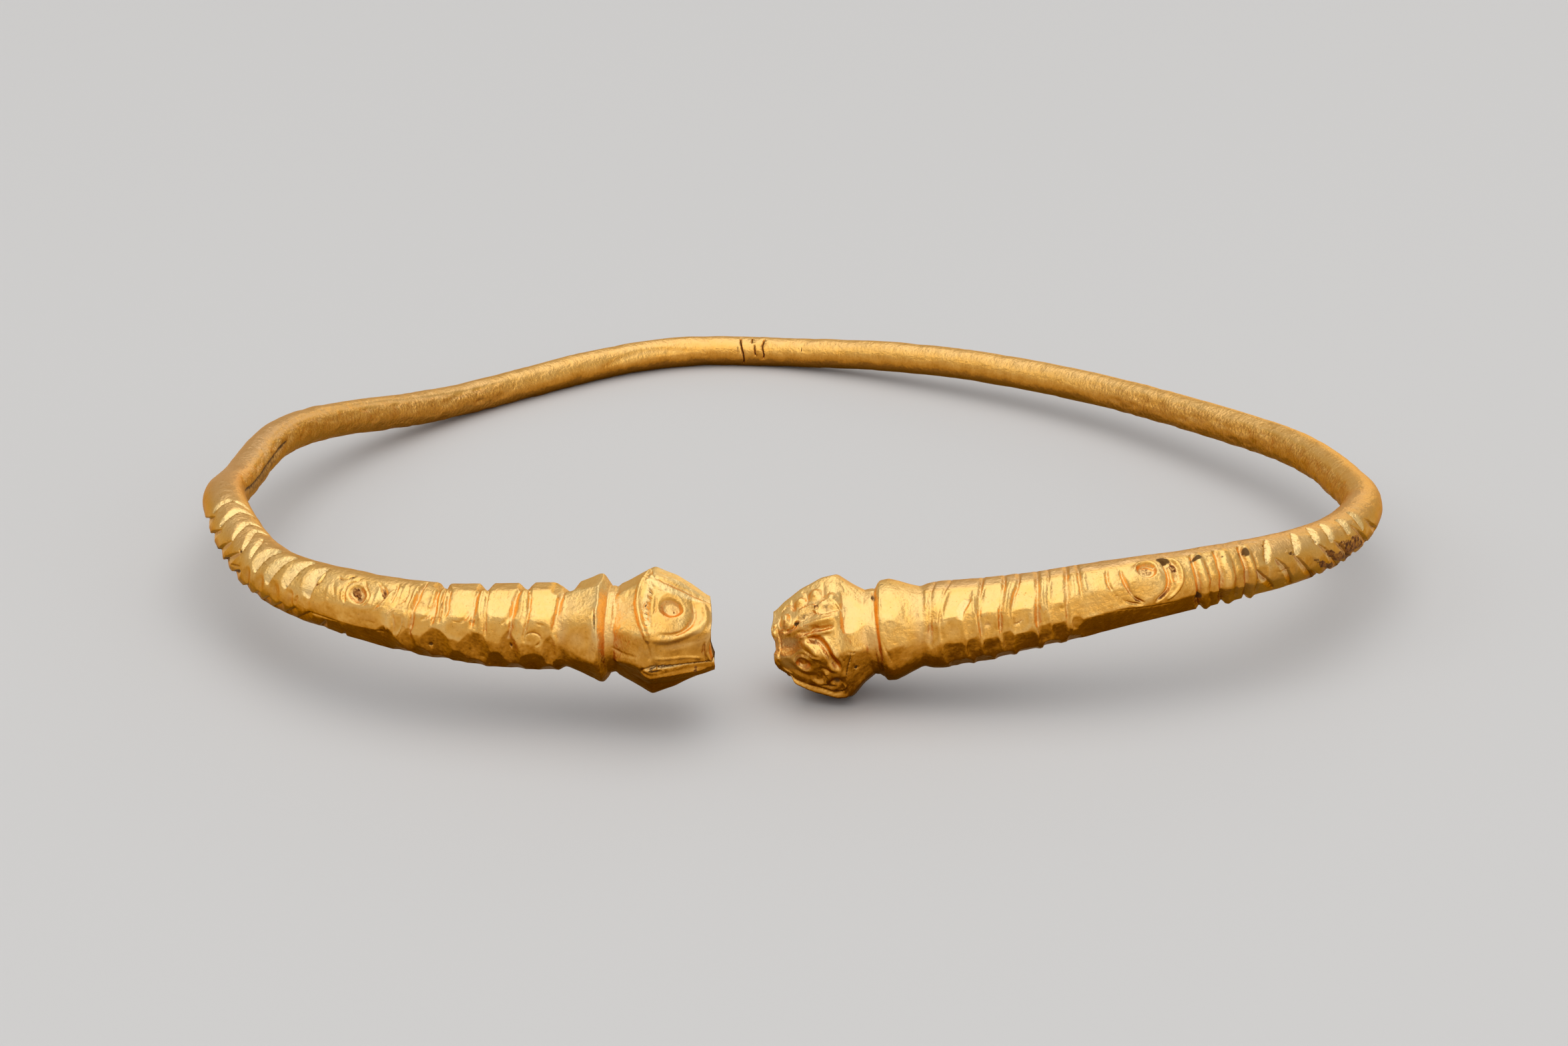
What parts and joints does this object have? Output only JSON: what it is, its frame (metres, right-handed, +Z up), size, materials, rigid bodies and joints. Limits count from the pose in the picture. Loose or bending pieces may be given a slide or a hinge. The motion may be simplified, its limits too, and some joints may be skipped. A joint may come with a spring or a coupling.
{
  "type": "penannular bracelet",
  "caption": "Gold penannular bracelet: a tapering rod bent into an open hoop, carved with flats, beads and notches, ending in facing animal heads.",
  "frame": {"origin": "middle of the bracelet's outline, on the table it lies on", "axes": "+Z up from the table, -Y towards the gap between the two heads, +X across the hoop, the left head at -X"},
  "size_m": [0.074, 0.0656, 0.0093],
  "materials": {
    "gold": "satin, hand-worn high-carat gold with brown soil in its cuts"
  },
  "bodies": {
    "root": {"bracelet": "gold"}
  },
  "joints": []
}
